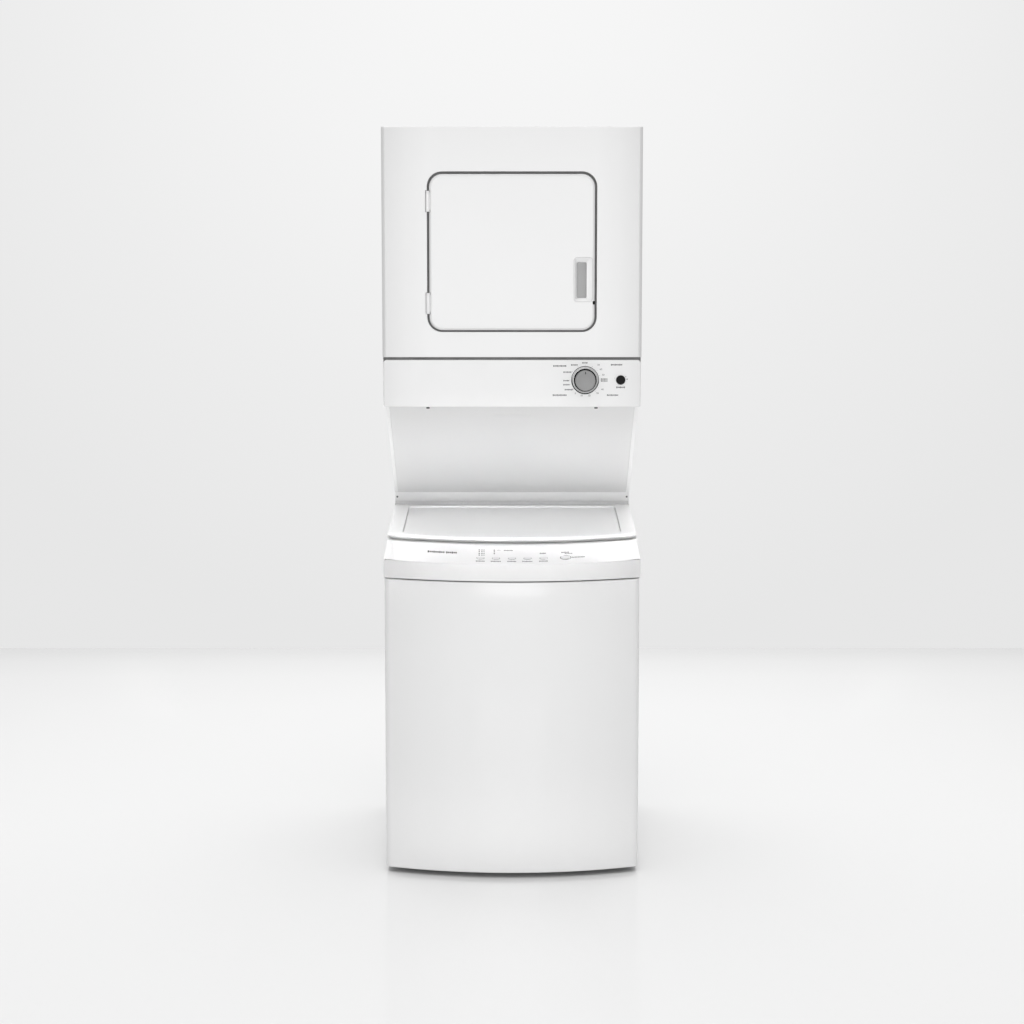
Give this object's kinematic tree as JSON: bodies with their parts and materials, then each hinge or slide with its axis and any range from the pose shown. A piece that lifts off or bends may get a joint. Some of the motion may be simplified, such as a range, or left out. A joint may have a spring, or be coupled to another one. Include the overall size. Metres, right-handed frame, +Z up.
{
  "type": "washer dryer stack",
  "caption": "Stacked laundry centre: a front-loading tumble dryer carried on a slanted stand above a bow-fronted top-loading washer.",
  "frame": {"origin": "centre of the footprint, on the floor", "axes": "+Z up; -Y is the front, where the door, the dials and the lid are reached; +X to the right of a person facing it"},
  "size_m": [0.606, 0.6999, 1.766],
  "materials": {
    "white_paint": "gloss enamel",
    "white_plastic": "satin",
    "galvanized_steel": "galvanized",
    "grey_plastic": "matte",
    "silver_trim": "satin silver",
    "key_plastic": "satin",
    "black_plastic": "matte",
    "tub_plastic": "satin",
    "dark_steel": "semi-gloss",
    "stainless": "brushed",
    "rubber": "matte"
  },
  "bodies": {
    "cabinet": {"base_frame": "galvanized_steel", "leveling_feet": "rubber", "washer_side_left": "white_paint", "washer_side_right": "white_paint", "rear_panel": "galvanized_steel", "washer_front_panel": "white_paint", "washer_apron": "white_plastic", "washer_console": "white_plastic", "washer_deck": "white_paint", "outer_tub": "tub_plastic", "suspension_rods": "dark_steel", "washer_drive": "dark_steel", "drain_pump": "black_plastic", "inlet_valve": "black_plastic", "recess_panel": "white_paint", "sill_strip": "white_paint", "stand_side_left": "white_paint", "stand_side_right": "white_paint", "trim_screws": "dark_steel", "dryer_side_left": "white_paint", "dryer_side_right": "white_paint", "dryer_top": "white_paint", "dryer_front_panel": "white_paint", "dryer_rear_panel": "galvanized_steel", "dryer_floor": "galvanized_steel", "dryer_console": "white_plastic", "timer_body": "black_plastic", "start_switch": "black_plastic", "hinge_posts": "white_paint", "front_bulkhead": "galvanized_steel", "lint_duct": "galvanized_steel", "rear_bulkhead": "galvanized_steel", "heater_box": "galvanized_steel", "blower_housing": "black_plastic", "exhaust_pipe": "galvanized_steel", "dryer_motor": "dark_steel", "dryer_belt": "rubber", "terminal_cover": "galvanized_steel"},
    "dryer_door": {"door_panel": "white_paint", "handle_cup": "white_plastic", "door_liner": "white_plastic", "door_hinges": "white_paint"},
    "washer_lid": {"washer_lid": "white_paint"},
    "timer_knob": {"knob_skirt": "silver_trim", "knob_cap": "grey_plastic"},
    "start_button": {"start_button": "black_plastic"},
    "lint_filter": {"lint_filter": "grey_plastic"},
    "dryer_drum": {"dryer_drum": "stainless", "drum_baffles": "white_plastic"},
    "motor_rotor": {"motor_pulley": "dark_steel", "blower_wheel": "black_plastic"},
    "wash_basket": {"wash_basket": "stainless", "balance_ring": "grey_plastic"},
    "agitator": {"agitator": "tub_plastic"},
    "washer_key_1": {"washer_key_1": "key_plastic"},
    "washer_key_2": {"washer_key_2": "key_plastic"},
    "washer_key_3": {"washer_key_3": "key_plastic"},
    "washer_key_4": {"washer_key_4": "key_plastic"},
    "washer_key_5": {"washer_key_5": "key_plastic"},
    "washer_start_key": {"washer_start_key": "key_plastic"}
  },
  "joints": [
    {"name": "door_hinge", "type": "hinge", "parent": "cabinet", "child": "dryer_door", "pos_m": [-0.1952, -0.264, 1.477], "axis": [0, 0, -1], "range_deg": [0, 160]},
    {"name": "lid_hinge", "type": "hinge", "parent": "cabinet", "child": "washer_lid", "pos_m": [0, 0.165, 0.822], "axis": [-1, 0, 0], "range_deg": [0, 38]},
    {"name": "timer_turn", "type": "hinge", "parent": "cabinet", "child": "timer_knob", "pos_m": [0.171, -0.263, 1.18], "axis": [0, 1, 0], "continuous": true},
    {"name": "start_press", "type": "slide", "parent": "cabinet", "child": "start_button", "axis": [0, 1, 0], "range_m": [0, 0.003], "stiffness_N_per_m": 400},
    {"name": "lint_slide", "type": "slide", "parent": "cabinet", "child": "lint_filter", "axis": [0, 0, 1], "range_m": [0, 0.115]},
    {"name": "drum_spin", "type": "hinge", "parent": "cabinet", "child": "dryer_drum", "pos_m": [0, 0.03, 1.478], "axis": [0, 1, 0], "continuous": true},
    {"name": "motor_spin", "type": "hinge", "parent": "cabinet", "child": "motor_rotor", "pos_m": [0.205, -0.04, 1.19], "axis": [0, 1, 0], "continuous": true},
    {"name": "basket_spin", "type": "hinge", "parent": "cabinet", "child": "wash_basket", "pos_m": [0, 0, 0.45], "axis": [0, 0, 1], "continuous": true},
    {"name": "agitator_turn", "type": "hinge", "parent": "cabinet", "child": "agitator", "pos_m": [0, 0, 0.43], "axis": [0, 0, 1], "continuous": true},
    {"name": "key_1_press", "type": "slide", "parent": "cabinet", "child": "washer_key_1", "axis": [0, 0.4537, -0.8912], "range_m": [0, 0.001], "stiffness_N_per_m": 300},
    {"name": "key_2_press", "type": "slide", "parent": "cabinet", "child": "washer_key_2", "axis": [0, 0.45, -0.893], "range_m": [0, 0.001], "stiffness_N_per_m": 300},
    {"name": "key_3_press", "type": "slide", "parent": "cabinet", "child": "washer_key_3", "axis": [0, 0.4487, -0.8937], "range_m": [0, 0.001], "stiffness_N_per_m": 300},
    {"name": "key_4_press", "type": "slide", "parent": "cabinet", "child": "washer_key_4", "axis": [0, 0.4499, -0.8931], "range_m": [0, 0.001], "stiffness_N_per_m": 300},
    {"name": "key_5_press", "type": "slide", "parent": "cabinet", "child": "washer_key_5", "axis": [0, 0.4537, -0.8912], "range_m": [0, 0.001], "stiffness_N_per_m": 300},
    {"name": "start_key_press", "type": "slide", "parent": "cabinet", "child": "washer_start_key", "axis": [0, 0.4635, -0.8861], "range_m": [0, 0.001], "stiffness_N_per_m": 300}
  ],
  "couplings": [
    {"joint": "motor_spin", "follows": "drum_spin", "ratio": 19.286}
  ]
}
